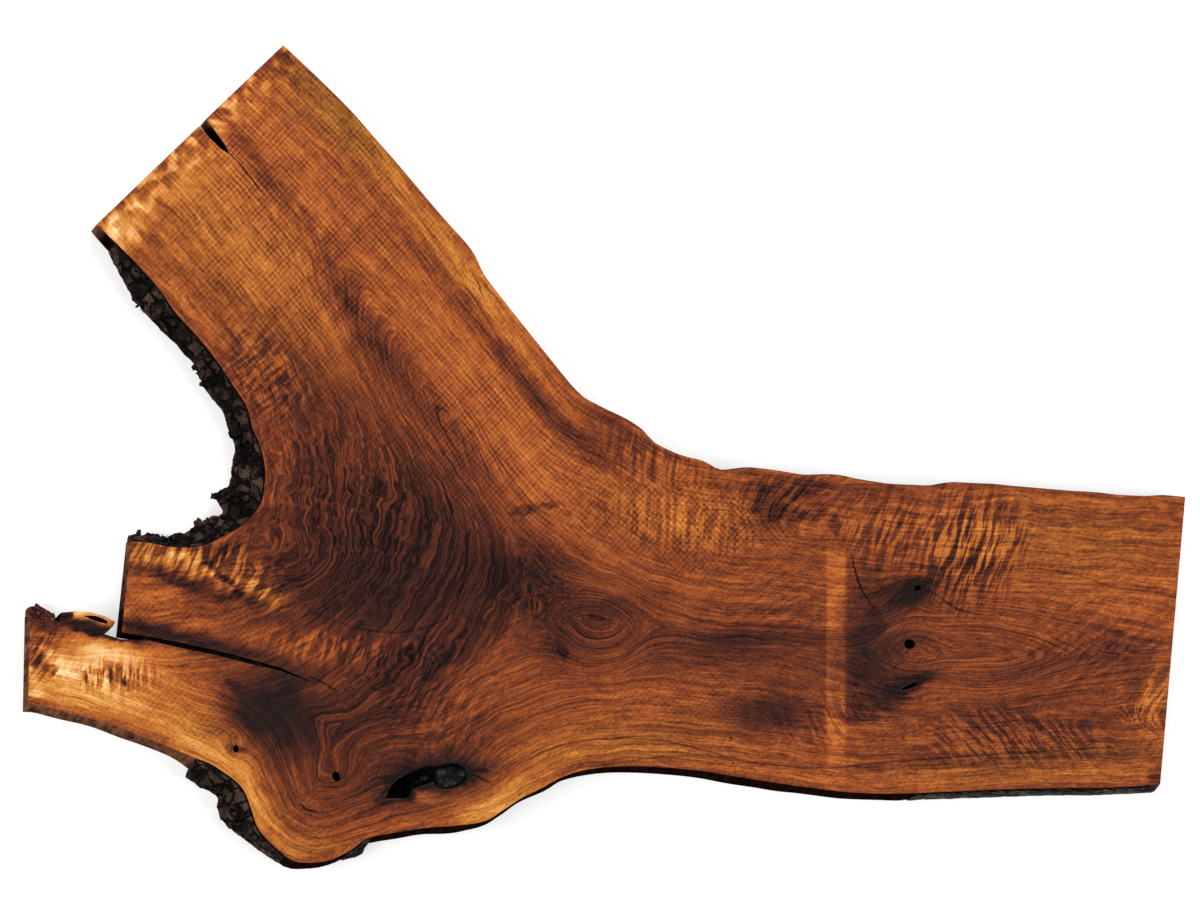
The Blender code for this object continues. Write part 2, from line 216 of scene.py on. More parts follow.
# tones painted over the face from first to last: x, y, half length, half width, turn, tone and strength.
# Tone 0 is black, 0.4 the usual red-brown, 1 the palest sapwood
tonePatches = [
    # limb, broad
    (260, 190, 150, 110, -50, 0.51, 0.8), (440, 330, 120, 54, -50, 0.51, 0.8),
    (505, 450, 100, 60, -48, 0.53, 0.85), (235, 235, 110, 34, -50, 0.54, 0.7),
    (290, 290, 70, 24, -50, 0.52, 0.6), (400, 450, 60, 32, -48, 0.45, 0.6),
    # limb, pale places at the saw cut
    (122, 230, 36, 15, 45, 0.8, 0.75), (175, 182, 34, 12, 45, 0.64, 0.6), (222, 136, 24, 13, -50, 0.72, 0.7),
    (240, 108, 22, 10, 45, 0.58, 0.5), (150, 245, 16, 9, -50, 0.4, 0.5),
    # limb, dark streak down from the end check
    (262, 168, 62, 11, -50, 0.33, 0.7), (315, 235, 60, 12, -50, 0.37, 0.6),
    (348, 302, 52, 15, -52, 0.33, 0.75), (386, 356, 50, 18, -48, 0.29, 0.8),
    (430, 412, 50, 12, -45, 0.33, 0.65), (470, 455, 40, 9, -48, 0.36, 0.4),
    # limb, outer edge: olive sapwood, pale strip and the dark line inside it
    (345, 118, 75, 24, -48, 0.44, 0.65), (290, 60, 16, 10, -50, 0.35, 0.6), (335, 82, 30, 8, -50, 0.36, 0.5),
    (354, 106, 18, 9, -48, 0.3, 0.6), (395, 185, 50, 14, -50, 0.53, 0.7),
    (447, 243, 50, 16, -52, 0.54, 0.75), (492, 302, 50, 14, -52, 0.56, 0.7),
    (532, 352, 45, 12, -52, 0.52, 0.6), (572, 402, 34, 9, -45, 0.44, 0.6), (405, 232, 50, 6, -52, 0.37, 0.5),
    (452, 290, 50, 7, -55, 0.36, 0.6), (500, 350, 45, 8, -52, 0.32, 0.7), (542, 402, 45, 10, -50, 0.27, 0.75),
    (582, 440, 40, 11, -38, 0.25, 0.8), (628, 472, 48, 9, -22, 0.27, 0.7), (700, 488, 60, 8, -10, 0.34, 0.6),
    # limb, beside the crotch
    (200, 300, 62, 20, -52, 0.47, 0.5), (232, 345, 45, 12, -55, 0.35, 0.5),
    (285, 350, 60, 26, -45, 0.36, 0.55), (275, 400, 40, 22, -60, 0.4, 0.5),
    # dark feather in the crotch
    (355, 520, 124, 104, 0, 0.17, 0.92), (380, 575, 92, 62, 10, 0.06, 0.9),
    (305, 470, 46, 60, 20, 0.22, 0.65), (290, 405, 34, 44, 30, 0.32, 0.6),
    (335, 430, 54, 36, -35, 0.26, 0.65), (425, 560, 60, 44, 110, 0.12, 0.8),
    (300, 565, 52, 42, 0, 0.19, 0.75), (272, 495, 50, 9, 80, 0.38, 0.5), (470, 585, 60, 42, 20, 0.14, 0.8),
    (528, 582, 52, 34, 20, 0.09, 0.88), (556, 614, 26, 30, 20, 0.11, 0.85), (480, 612, 52, 18, 0, 0.2, 0.7),
    # eye and the bright wood above it
    (596, 630, 62, 46, 0, 0.22, 0.85), (604, 630, 22, 14, 0, 0.34, 0.6), (560, 640, 12, 30, -70, 0.2, 0.4),
    (650, 502, 62, 28, -15, 0.54, 0.75), (725, 520, 75, 28, -8, 0.53, 0.7), (640, 542, 52, 28, 0, 0.47, 0.6),
    (600, 500, 60, 28, 60, 0.44, 0.5), (610, 428, 30, 15, -35, 0.28, 0.7), (650, 450, 30, 9, -30, 0.4, 0.5),
    (690, 468, 30, 9, -10, 0.42, 0.5),
    # folds on the trunk's upper edge
    (735, 490, 26, 12, 0, 0.34, 0.5), (770, 506, 27, 17, 40, 0.25, 0.75), (810, 490, 36, 14, 15, 0.27, 0.7),
    (850, 500, 32, 16, 0, 0.35, 0.6), (830, 545, 18, 26, 0, 0.36, 0.5), (885, 500, 55, 13, 0, 0.37, 0.5),
    # trunk, middle and lower
    (700, 580, 95, 28, -3, 0.4, 0.7), (800, 570, 42, 30, 0, 0.4, 0.6), (720, 652, 140, 36, 2, 0.24, 0.8),
    (735, 642, 70, 12, 3, 0.2, 0.8), (640, 662, 72, 13, 15, 0.33, 0.6), (800, 652, 42, 28, 0, 0.3, 0.7),
    (700, 692, 75, 22, 5, 0.4, 0.6), (640, 702, 72, 25, 10, 0.45, 0.6), (560, 702, 72, 30, 25, 0.43, 0.6),
    (776, 712, 46, 24, 0, 0.19, 0.95),
    # knots and the black stain behind them
    (882, 650, 42, 66, 0, 0.26, 0.8), (866, 662, 30, 36, 0, 0.13, 0.85), (855, 702, 26, 20, 0, 0.22, 0.7),
    (865, 712, 30, 8, 20, 0.22, 0.6), (912, 644, 28, 22, 0, 0.28, 0.5), (960, 650, 45, 30, 0, 0.41, 0.6),
    (1005, 645, 70, 44, 0, 0.35, 0.6), (930, 620, 60, 50, 0, 0.34, 0.5),
    # trunk's far end
    (930, 550, 50, 25, 60, 0.45, 0.5), (1080, 552, 115, 36, -5, 0.43, 0.7),
    (1140, 600, 52, 28, -10, 0.43, 0.6), (1100, 660, 84, 30, 6, 0.28, 0.85),
    (1040, 692, 62, 24, 20, 0.34, 0.6), (1000, 722, 110, 26, 0, 0.32, 0.75),
    (1090, 725, 70, 22, 0, 0.3, 0.6), (1155, 702, 36, 24, 60, 0.5, 0.7), (1172, 640, 50, 10, 85, 0.42, 0.5),
    (1060, 754, 112, 8, 2, 0.34, 0.7), (905, 762, 62, 9, 0, 0.31, 0.6), (1020, 776, 130, 9, 1, 0.47, 0.75),
    (930, 780, 52, 9, 0, 0.5, 0.6), (1158, 774, 8, 12, 0, 0.18, 0.7),
    # pale strip along the belly
    (620, 752, 92, 10, 0, 0.5, 0.7), (750, 765, 72, 9, -7, 0.47, 0.6), (830, 774, 50, 10, -5, 0.47, 0.5),
    (560, 748, 62, 15, 12, 0.46, 0.5), (500, 801, 45, 12, 30, 0.64, 0.85), (540, 776, 42, 10, 30, 0.52, 0.6),
    (476, 810, 26, 8, 0, 0.64, 0.7), (455, 752, 62, 24, 30, 0.31, 0.7), (425, 745, 62, 13, 20, 0.25, 0.7),
    # foot
    (335, 735, 68, 66, 0, 0.23, 0.85), (385, 700, 66, 46, 30, 0.22, 0.8), (306, 800, 44, 36, -60, 0.31, 0.75),
    (365, 796, 58, 32, 20, 0.28, 0.7), (252, 800, 62, 17, -58, 0.62, 0.95),
    (222, 757, 38, 16, -30, 0.62, 0.85), (300, 846, 42, 14, -5, 0.5, 0.6), (340, 842, 42, 9, 5, 0.38, 0.5),
    (392, 823, 52, 8, 8, 0.47, 0.6), (428, 778, 56, 20, 10, 0.12, 0.85), (426, 811, 50, 11, 10, 0.34, 0.6),
    (424, 796, 14, 5, 0, 0.58, 0.7),
    # below the feather
    (268, 708, 50, 34, -30, 0.08, 0.95), (292, 682, 32, 18, -30, 0.18, 0.7),
    (287, 740, 26, 18, 70, 0.15, 0.7), (290, 650, 52, 13, -15, 0.41, 0.6), (352, 648, 62, 11, -3, 0.42, 0.6),
    (402, 682, 78, 36, 20, 0.15, 0.85), (442, 652, 66, 30, 30, 0.16, 0.75), (482, 682, 62, 28, 25, 0.38, 0.5),
    (330, 690, 42, 18, 0, 0.3, 0.5),
    # lower stub
    (150, 655, 60, 20, -10, 0.46, 0.7), (85, 667, 68, 34, -12, 0.78, 0.9), (110, 672, 26, 7, 5, 0.5, 0.7),
    (38, 662, 16, 7, -75, 0.34, 0.8), (88, 613, 34, 11, -15, 0.8, 1.0), (98, 630, 44, 5, -12, 0.12, 0.8),
    (62, 690, 46, 14, -15, 0.7, 0.6), (62, 668, 26, 10, -8, 0.88, 0.8), (112, 657, 26, 7, -8, 0.88, 0.8),
    (34, 690, 9, 9, 0, 0.82, 0.7), (60, 646, 26, 6, -20, 0.44, 0.7), (96, 678, 20, 5, 12, 0.48, 0.7),
    (150, 712, 30, 7, -20, 0.82, 0.6), (130, 692, 50, 30, -20, 0.74, 0.7), (182, 700, 46, 32, -25, 0.52, 0.7),
    (198, 738, 42, 18, -30, 0.62, 0.7), (40, 626, 26, 9, -10, 0.24, 0.8), (36, 656, 16, 7, -65, 0.28, 0.8),
    (217, 672, 42, 18, -15, 0.36, 0.6),
    # upper stub
    (172, 558, 52, 12, -5, 0.62, 0.85), (232, 562, 42, 20, -40, 0.42, 0.7), (250, 587, 34, 7, -25, 0.6, 0.7),
    (205, 573, 26, 6, -30, 0.62, 0.7), (182, 583, 46, 7, -20, 0.13, 0.95), (215, 552, 20, 8, 10, 0.22, 0.7),
    (237, 602, 40, 7, -25, 0.24, 0.7), (172, 610, 56, 18, -12, 0.47, 0.75), (262, 596, 36, 6, -28, 0.56, 0.5),
    (150, 596, 24, 6, -14, 0.52, 0.6), (215, 618, 40, 7, -16, 0.33, 0.6), (200, 640, 85, 10, -13, 0.26, 0.6),
    (300, 668, 40, 8, -15, 0.2, 0.5), (142, 628, 34, 8, -12, 0.16, 0.7), (96, 629, 40, 6, -12, 0.1, 0.9),
    (240, 652, 46, 7, -14, 0.14, 0.7),
    # knots
    (905, 615, 60, 62, 0, 0.3, 0.5), (866, 582, 26, 18, 60, 0.25, 0.7), (872, 655, 24, 40, 0, 0.17, 0.8),
    (906, 592, 30, 16, 20, 0.06, 1.0), (918, 588, 14, 9, 40, 0.02, 1.0), (893, 692, 40, 12, 28, 0.07, 1.0),
    (905, 686, 26, 9, 20, 0.08, 1.0), (860, 700, 22, 14, 0, 0.2, 0.7), (912, 644, 17, 13, 0, 0.22, 0.8),
    (336, 776, 12, 9, 0, 0.2, 0.7), (236, 749, 9, 8, 0, 0.18, 0.6), (596, 616, 60, 12, 15, 0.2, 0.6),
    (560, 634, 16, 30, 10, 0.17, 0.7), (775, 505, 24, 10, 60, 0.14, 0.7), (760, 490, 10, 20, 20, 0.18, 0.6),
    (806, 512, 24, 7, 30, 0.18, 0.6),
    # splinter beside the lower stub
    (92, 614, 26, 8, -14, 0.8, 1.0),
]

# marks with ragged edges, laid over those: the same values without a strength
raggedPatches = [
    # the rotted place, with one sound island in it
    (420, 778, 44, 13, 12, 0.02), (400, 788, 20, 9, -30, 0.02), (453, 775, 25, 15, 0, 0.01),
    (476, 769, 16, 4, -5, 0.06), (384, 800, 12, 4, 20, 0.12), (424, 798, 11, 5, -8, 0.5),
    # black wood at the mouth of the cleft
    (98, 631, 44, 6, -13, 0.03), (62, 617, 12, 6, 20, 0.05), (152, 631, 36, 6, -13, 0.1),
    (210, 645, 34, 4, -14, 0.14),
    # stain below the feather
    (262, 712, 26, 22, -30, 0.1), (286, 694, 12, 18, -20, 0.09), (284, 738, 16, 9, 60, 0.1),
    (240, 690, 20, 7, -30, 0.16),
    # brown flames in the lower stub's pale wood
    (34, 656, 8, 12, -40, 0.33), (52, 670, 7, 9, -40, 0.4), (46, 640, 12, 4, -30, 0.42),
    (85, 676, 3, 7, 20, 0.36), (97, 671, 6, 3, 0, 0.46), (110, 677, 3, 9, 10, 0.32),
    (125, 683, 3, 8, 25, 0.38), (124, 721, 14, 4, -22, 0.46), (160, 735, 12, 3, -25, 0.42),
    (70, 702, 12, 3, -18, 0.55),
    # dark flecks in the upper stub's gold
    (180, 583, 22, 4, -22, 0.14), (212, 567, 12, 4, -30, 0.24), (228, 580, 14, 4, -35, 0.22),
    (246, 598, 16, 4, -30, 0.2),
    # knots
    (911, 588, 13, 7, 30, 0.04), (897, 600, 10, 5, 0, 0.08), (907, 686, 22, 7, 22, 0.06),
    (863, 664, 14, 26, 0, 0.14), (858, 701, 12, 8, 20, 0.15), (876, 622, 8, 18, 0, 0.17),
    (776, 512, 13, 6, 50, 0.12), (803, 495, 15, 6, 15, 0.15), (836, 525, 5, 12, 0, 0.22),
    (790, 512, 10, 4, 30, 0.2), (562, 650, 5, 14, 20, 0.11), (524, 511, 16, 6, 10, 0.25),
    (550, 504, 10, 4, 0, 0.27), (600, 604, 34, 5, 12, 0.2), (574, 612, 14, 5, 45, 0.15),
    # dark ends of the limb's streak
    (345, 300, 16, 6, -50, 0.26), (380, 350, 18, 6, -50, 0.25), (330, 262, 10, 3, -50, 0.28),
]

# warm yellow instead of red: x, y, half length, half width, turn and strength
goldPatches = [
    (230, 250, 150, 60, -50, 0.4), (90, 680, 75, 34, -14, 0.45), (190, 730, 60, 24, -25, 0.6),
    (300, 846, 50, 12, 0, 0.5), (610, 745, 110, 26, 8, 0.4), (690, 510, 100, 40, -10, 0.2),
    (1060, 540, 130, 40, 0, 0.35), (122, 230, 50, 20, 45, 0.5), (345, 118, 85, 26, -48, 1.0),
    (450, 250, 110, 16, -51, 0.5), (172, 558, 60, 18, -5, 0.5), (250, 587, 40, 12, -25, 0.45),
    (256, 800, 66, 20, -58, 0.5), (215, 748, 45, 18, -30, 0.6), (500, 801, 55, 14, 25, 0.8),
    (620, 752, 100, 12, 0, 0.6), (1020, 772, 140, 14, 1, 0.4), (1155, 702, 40, 26, 60, 0.2),
    (92, 616, 34, 13, -12, 0.4), (70, 690, 70, 18, -15, 0.6), (1070, 754, 110, 10, 2, 0.5),
]

# black-blue stain in the wood, as walnut gets beside knots, rot and iron
ashPatches = [
    (268, 708, 52, 36, -30, 0.9), (290, 680, 34, 18, -30, 0.8), (430, 776, 56, 20, 10, 0.9),
    (200, 642, 85, 9, -13, 0.7), (868, 640, 34, 30, 70, 0.6), (912, 596, 26, 14, 30, 0.7),
    (895, 692, 36, 9, 25, 0.6), (735, 642, 60, 9, 3, 0.5), (775, 712, 42, 20, 0, 0.4),
    (380, 580, 80, 45, 10, 0.3), (100, 630, 40, 8, -10, 0.6), (525, 577, 40, 22, 20, 0.3),
]

# where the year rings show as clear dark lines
ringPatches = [
    (470, 450, 100, 55, -50, 0.8), (598, 632, 50, 40, 0, 1.0), (1010, 655, 80, 70, 0, 0.9),
    (350, 800, 90, 60, -20, 1.0), (330, 730, 60, 50, 0, 0.8), (650, 745, 130, 30, 0, 0.7),
    (640, 660, 90, 40, 0, 0.5), (560, 700, 90, 50, 20, 0.6), (700, 620, 90, 30, 0, 0.4),
    (1080, 765, 120, 20, 0, 0.5), (910, 644, 40, 34, 0, 1.0), (380, 220, 120, 60, -50, 0.35),
    (200, 600, 90, 40, -10, 0.3),
]

# where the feather's short dark flames, the cross-grain curl and the saw's marks show
featherPatches = [
    (350, 520, 130, 110, 0, 1.0), (410, 670, 90, 50, 20, 0.8), (530, 592, 60, 44, 10, 1.0),
    (270, 390, 60, 44, -60, 0.7), (330, 730, 60, 40, 0, 0.4),
]
sawPatches = [
    (300, 230, 190, 130, -50, 1.0), (490, 430, 120, 90, -45, 0.9), (180, 620, 110, 40, -10, 0.45),
    (170, 700, 90, 40, -20, 0.4), (700, 700, 130, 50, 0, 0.35), (680, 520, 110, 50, -8, 1.0),
    (1050, 730, 120, 50, 0, 0.2), (600, 500, 80, 50, -30, 0.8),
]

# ripples that cross the grain: x, y, half length, half width, turn, the strokes' own turn, and strength
ripplePatches = [
    (968, 546, 50, 54, 0, 72, 1.4), (885, 530, 44, 38, 0, 66, 0.8), (1010, 735, 115, 28, 0, -52, 0.8),
    (1150, 702, 40, 36, 60, 52, 0.7), (655, 462, 60, 26, -25, 80, 0.7), (685, 520, 90, 34, -10, 84, 0.55),
    (40, 656, 22, 24, 0, 58, 1.2), (350, 648, 80, 16, -5, 70, 0.8), (190, 556, 75, 22, -10, 62, 1.3),
    (246, 584, 40, 18, -30, 50, 1.0), (262, 370, 55, 34, -60, 44, 0.8), (112, 676, 40, 16, 0, 84, 1.5),
    (790, 500, 60, 28, 0, 48, 0.8), (840, 720, 60, 30, 0, -60, 0.5), (440, 700, 50, 40, 0, 60, 0.5),
    (1100, 640, 70, 60, 0, 38, 0.35), (780, 600, 60, 40, 0, 30, 0.3),
]

# knots, the eye and the limb's long arch bend the rings. Each patch's last value is its push, in pixels
ringBumps = [
    (598, 632, 40, 40, 0, 60.0), (910, 646, 28, 24, 0, 36.0), (912, 594, 24, 18, 0, 26.0),
    (895, 690, 34, 13, -24, 18.0), (336, 776, 22, 20, 0, 20.0), (236, 749, 14, 12, 0, 12.0),
    (430, 778, 50, 30, 10, 26.0), (975, 650, 95, 46, 0, 60.0), (418, 395, 140, 44, -50, 46.0),
    (330, 790, 70, 52, -40, 30.0), (300, 560, 60, 30, 0, -14.0),
]

# thin dark lines: end checks, a curved crack beside the knots, and the line where the heartwood stops
checkLines = [
    (0.30, [(226, 150), (240, 164), (254, 182), (262, 192)]),
    (0.26, [(851, 553), (857, 577), (864, 594), (874, 608)]),
    (0.26, [(300, 803), (308, 810), (319, 812)]),
    (0.16, [(905, 584), (928, 590), (948, 603), (966, 612), (1000, 617)]),
    (0.10, [(1038, 568), (1080, 576), (1115, 587), (1176, 594)]),
    (0.13, [(548, 755), (575, 744), (604, 738), (640, 739), (680, 744), (750, 762), (827, 768), (912, 760),
            (1158, 744)]),
    (0.09, [(600, 766), (660, 757), (700, 758), (760, 770), (812, 777)]),
    (0.10, [(415, 215), (445, 250), (470, 292), (500, 340), (528, 384), (556, 424), (590, 452), (640, 474)]),
    (0.16, [(470, 270), (478, 283), (484, 300)]),
    (0.30, [(398, 782), (386, 791), (378, 798)]),
    (0.24, [(458, 770), (474, 775), (492, 784)]),
    (0.14, [(688, 633), (716, 638), (745, 636), (770, 641)]),
    (0.20, [(308, 676), (322, 682), (338, 692)]),
    (0.10, [(447, 475), (462, 510), (467, 545), (462, 588), (446, 618), (405, 632), (357, 628), (312, 612)]),
]

# the lighter band that a drying sticker left across the trunk: its sides, and how soon each fades, in pixels
stickerBand = {"left": (825, 3), "right": (847, 2), "top": (540, 20), "bottom": (800, 90), "lift": 0.17,
               "uneven": 0.4}

# the four cross cuts, end to end
sawCuts = [(97, 224, 283, 45), (1185, 497, 1160, 786), (129, 536, 123, 622), (27, 611, 25, 702)]

# the lower stub's edge has lost its bark and shows plain wood
bareEdges = [(28, 703, 100, 722), (100, 722, 190, 756)]

# beside the cross cuts the oil took unevenly and left pale flecks, fewest where the cut isn't the limb's
endFlecks = {"reach": 26.0, "pale": 0.24, "gain": 4.0, "start": 0.3, "darkest": -0.35, "limbAbove": 300,
             "elsewhere": 0.25}

# how the upper face is cut up, in metres
slabShape = {
    "cell": 0.0041,         # the upper face's grid, fine enough to carry the figure
    "margin": 0.02,         # how much wider than the slab the grid starts
    "lift": 0.0012,         # keeps the two bodies' faces apart while one cuts the other
    "level": 0.0002,        # a face nearer than this to the top or the floor belongs to it
    "smoothAngle": 35,      # degrees
}
mergeDistance = 0.00001     # metres under which two points of a CAD mesh are one


def makeSlabShape():
    # the CAD slab with its upper face cut into a fine grid
    pickOut(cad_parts["walnut_slab"])
    bpy.ops.object.duplicate()
    body = bpy.context.view_layer.objects.active
    bpy.ops.object.mode_set(mode="EDIT")
    bpy.ops.mesh.select_all(action="SELECT")
    bpy.ops.mesh.remove_doubles(threshold=mergeDistance)
    bpy.ops.transform.resize(value=(1, 1, 1 + slabShape["lift"] / faceHeight), center_override=(0, 0, 0))
    bpy.ops.object.mode_set(mode="OBJECT")
    clearSelection()
    low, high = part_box("walnut_slab")
    wide = high[0] - low[0] + slabShape["margin"]
    deep = high[1] - low[1] + slabShape["margin"]
    bpy.ops.mesh.primitive_grid_add(
        x_subdivisions=round(wide / slabShape["cell"]), y_subdivisions=round(deep / slabShape["cell"]),
        size=1, location=((low[0] + high[0]) / 2, (low[1] + high[1]) / 2, faceHeight))
    slab = bpy.context.view_layer.objects.active
    slab.name = "walnutSlab"
    slab.scale = (wide, deep, 1)
    bpy.ops.object.transform_apply(location=True, rotation=True, scale=True)
    bpy.ops.object.mode_set(mode="EDIT")
    bpy.ops.mesh.select_all(action="SELECT")
    bpy.ops.mesh.region_to_loop()
    bpy.ops.mesh.extrude_edges_move(TRANSFORM_OT_translate={"value": (0, 0, -faceHeight - slabShape["lift"])})
    bpy.ops.mesh.edge_face_add()
    bpy.ops.mesh.select_all(action="SELECT")
    bpy.ops.mesh.normals_make_consistent(inside=False)
    bpy.ops.object.mode_set(mode="OBJECT")
    applyModifier(slab, "BOOLEAN", operation="INTERSECT", object=body, solver="MANIFOLD")
    bpy.data.objects.remove(body)
    return slab


def storeNumbers(mesh, name, kind, values):
    # keeps one number or colour for each point of the mesh, for the material to read
    attribute = mesh.attributes.new(name, kind, "POINT")
    field = "color" if kind == "FLOAT_COLOR" else "value"
    attribute.data.foreach_set(field, values.astype(np.float32).ravel())


def storeMap(mesh, name, u, v):
    # keeps two numbers for each corner of the mesh, as a UV map
    corners = np.empty(len(mesh.loops), dtype=np.int32)
    mesh.loops.foreach_get("vertex_index", corners)
    layer = mesh.uv_layers.new(name=name)
    layer.data.foreach_set("uv", np.column_stack((u, v))[corners].astype(np.float32).ravel())


# how the painted fields sway: pushes and the size of their waves in pixels, and the seeds across and down
sway = {
    "rings": [(5, 70, 1.5, 3.5), (2, 24, 2.5, 4.5)],
    "patches": [(5, 16, 8.5, 9.5)],
    "ragged": [(3, 9, 15.5, 16.5)],
}
# how far single fibres stray in straight wood, and in the feather across the rings and along them
fibreStray = {"straight": 0.6, "across": 3.4, "acrossSize": 13, "along": 12, "alongSize": 11}
# the patches' ends are drawn out along the grain: push, the waves' size across and along the grain, seed
frayWaves = [(11, 6, 60, 6.5), (8, 3, 30, 7.5)]
tonePaint = {
    "base": 0.405,              # of wood that no patch covers
    "boost": 1.2,               # how much stronger a patch is laid than its list says
    "most": 0.95,
    "raggedRough": 0.3,         # how rough the ragged marks' edges are
    "raggedStart": 0.40,        # the weight at which a mark starts, and how soon it is full
    "raggedWidth": 0.18,
    "raggedMost": 0.92,
}
checkReach = 9.0                # pixels from a thin line within which points belong to it
sawnReach = {"far": 9.0, "fade": 4.0}       # pixels from a cross cut within which the side is plain wood


def swayed(across, down, name):
    # places pushed about by slow noise
    farX, farY = across, down
    for push, size, seedAcross, seedDown in sway[name]:
        farX = farX + push * wave(across, down, size, size, seedAcross)
        farY = farY + push * wave(across, down, size, size, seedDown)
    return farX, farY


def strongest(across, down, patches):
    # the highest weight that any of the patches has at each place
    return np.max([patch[5] * patchWeight(across, down, patch) for patch in patches], axis=0)


def ringField(across, down, bendX, bendY):
    # the rings run along whichever edge is nearest, and bend round the knots
    rings, others = [], []
    for name, spots in edgeLines.items():
        gap, along, headX, headY = nearestOnLine(bendX, bendY, smoothLine(spots))
        rings.append(gap * ringRates[name])
        others.append((along - ringStarts[name], headX, headY))
    rings = np.array(rings)
    weight = np.exp(-(rings - rings.min(axis=0)) / ringBlend)
    weight /= weight.sum(axis=0)
    ring = (weight * rings).sum(axis=0)
    length, headX, headY = (weight[:, None] * np.array(others)).sum(axis=0)
    for bump in ringBumps:
        ring += bump[5] * patchWeight(across, down, bump)
    # where the wood is feathered the fibres themselves curl
    curl = strongest(across, down, featherPatches)
    size = fibreStray["acrossSize"]
    ring += (fibreStray["straight"] + fibreStray["across"] * curl) * wave(across, down, size, size, 10.5)
    size = fibreStray["alongSize"]
    length += fibreStray["along"] * curl * wave(across, down, size, size, 11.5)
    return ring, length, headX, headY


def toneField(across, down, frayX, frayY, ring, length):
    # how dark the wood is at each place, before its grain
    tone = np.full(across.shape, tonePaint["base"])
    for patch in tonePatches:
        strength = min(patch[6] * tonePaint["boost"], tonePaint["most"])
        tone += (patch[5] - tone) * strength * patchWeight(frayX, frayY, patch)
    rough = tonePaint["raggedRough"] * wave(across, down, 6, 4.5, 14.5)
    nearX, nearY = swayed(across, down, "ragged")
    for patch in raggedPatches:
        share = patchWeight(nearX, nearY, patch) + rough - tonePaint["raggedStart"]
        tone += (patch[5] - tone) * tonePaint["raggedMost"] * np.clip(share / tonePaint["raggedWidth"], 0, 1)
    band = 0.8 + stickerBand["uneven"] * wave(across, down, 12, 40, 5.0)
    for place, sides in ((across, ("left", "right")), (down, ("top", "bottom"))):
        for sign, side in zip((1, -1), sides):
            edge, fade = stickerBand[side]
            band *= np.clip(sign * (place - edge) / fade, 0, 1)
    tone += stickerBand["lift"] * band
    cuts = [nearestOnLine(across, down, np.array([cut[:2], cut[2:]], float))[0] for cut in sawCuts]
    fleck = wave(ring, length, 6, 9, 12.5) * endFlecks["gain"] - endFlecks["start"]
    fleck = np.clip(fleck, endFlecks["darkest"], 1)
    fleck *= np.exp(-(np.min(cuts, axis=0) / endFlecks["reach"]) ** 2)
    strength = np.where(down < endFlecks["limbAbove"], 1.0, endFlecks["elsewhere"])
    return tone + endFlecks["pale"] * fleck * strength


def rippleField(frayX, frayY, bendX, bendY):
    # each ripple patch has its own straight strokes
    total = np.full(frayX.shape, 1e-6)
    strokeU = np.zeros_like(total)
    strokeV = np.zeros_like(total)
    ripple = np.zeros_like(total)
    for patch in ripplePatches:
        share = patchWeight(frayX, frayY, patch)
        c, s = math.cos(math.radians(patch[5])), math.sin(math.radians(patch[5]))
        total += share ** 2
        strokeU += share ** 2 * ((bendX - patch[0]) * s + (bendY - patch[1]) * c + patch[0])
        strokeV += share ** 2 * ((bendX - patch[0]) * c - (bendY - patch[1]) * s + patch[1])
        ripple = np.maximum(ripple, patch[6] * share)
    return strokeU / total, strokeV / total, ripple


def checkField(across, down):
    # beside each thin line: how far off it a point lies in metres, with a sign, and how far along it
    offLine = np.full(across.shape, 1.0)
    alongLine = np.full(across.shape, -1.0)
    lineDark = np.zeros_like(offLine)
    nearest = np.full(across.shape, checkReach)
    for dark, spots in checkLines:
        line = smoothLine(spots)
        gap, along, headX, headY = nearestOnLine(across, down, line)
        runs = np.cumsum(np.r_[0, np.hypot(*np.diff(line, axis=0).T)])
        nearX = np.interp(along, runs, line[:, 0])
        nearY = np.interp(along, runs, line[:, 1])
        side = np.sign(headX * (down - nearY) - headY * (across - nearX))
        near = gap < nearest
        nearest[near] = gap[near]
        offLine[near] = (gap * side)[near] * photoView["metresPerPixel"]
        alongLine[near] = (along / runs[-1])[near]
        lineDark[near] = dark
    return offLine, alongLine, lineDark


def sawnField(across, down):
    # 1 beside the cross cuts and the bare edge, where the slab's side is plain wood
    sawn = np.zeros(across.shape)
    for x1, y1, x2, y2 in sawCuts + bareEdges:
        gap = nearestOnLine(across, down, np.array([(x1, y1), (x2, y2)], float))[0]
        sawn = np.maximum(sawn, np.clip((sawnReach["far"] - gap) / sawnReach["fade"], 0, 1))
    return sawn


